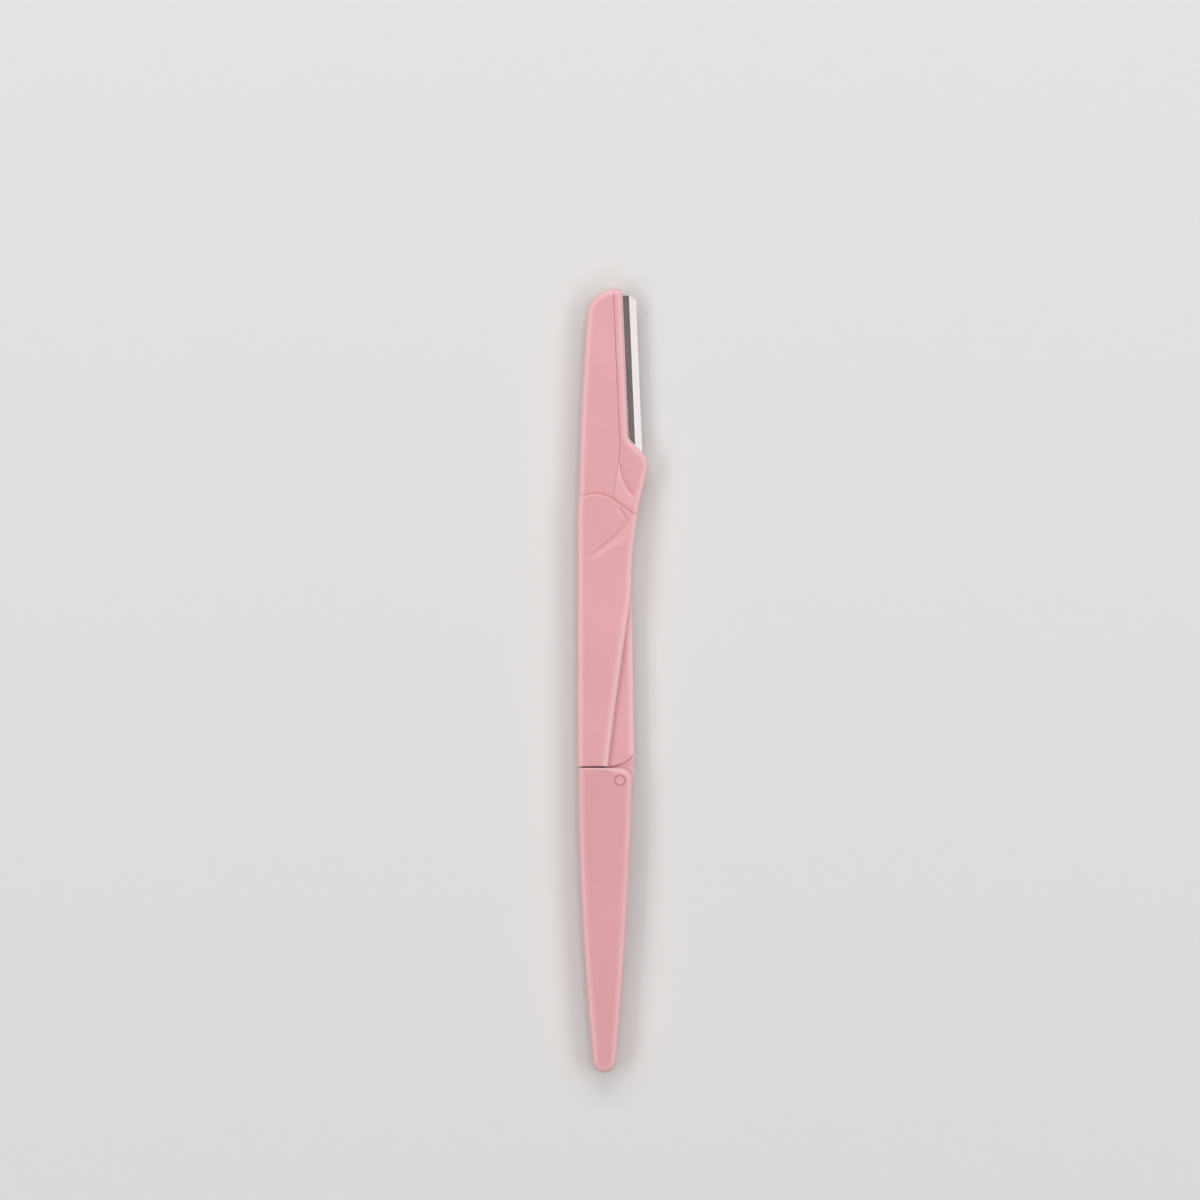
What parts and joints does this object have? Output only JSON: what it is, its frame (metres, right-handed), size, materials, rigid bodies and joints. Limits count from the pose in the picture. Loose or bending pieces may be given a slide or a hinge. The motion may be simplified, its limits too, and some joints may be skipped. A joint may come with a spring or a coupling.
{
  "type": "folding eyebrow razor",
  "caption": "Slim folding eyebrow razor: an arm with a narrow steel blade and finger stop along one edge, and a tapered handle that folds beside it on a pin.",
  "frame": {"origin": "centre of the open razor's box, on the plane of its back face", "axes": "+Y along the razor towards the blade's tip, +X towards the cutting edge, +Z out of the front face"},
  "size_m": [0.015, 0.1646, 0.005],
  "materials": {
    "core_plastic": "satin moulded, pale pink",
    "scale_plastic": "satin moulded, pale pink",
    "handle_plastic": "satin moulded, pale pink",
    "pin_plastic": "satin moulded, pale pink",
    "blade_steel": "ground, polished bevel"
  },
  "bodies": {
    "arm": {"arm_core": "core_plastic", "front_scale": "scale_plastic", "back_scale": "scale_plastic", "blade": "blade_steel"},
    "handle": {"handle_front": "handle_plastic", "handle_back": "handle_plastic", "pivot_pin": "pin_plastic"}
  },
  "joints": [
    {"name": "handle_fold", "type": "hinge", "parent": "arm", "child": "handle", "pos_m": [0.00143, -0.021, 0.0025], "axis": [0, 0, 1], "range_deg": [0, 175]}
  ]
}
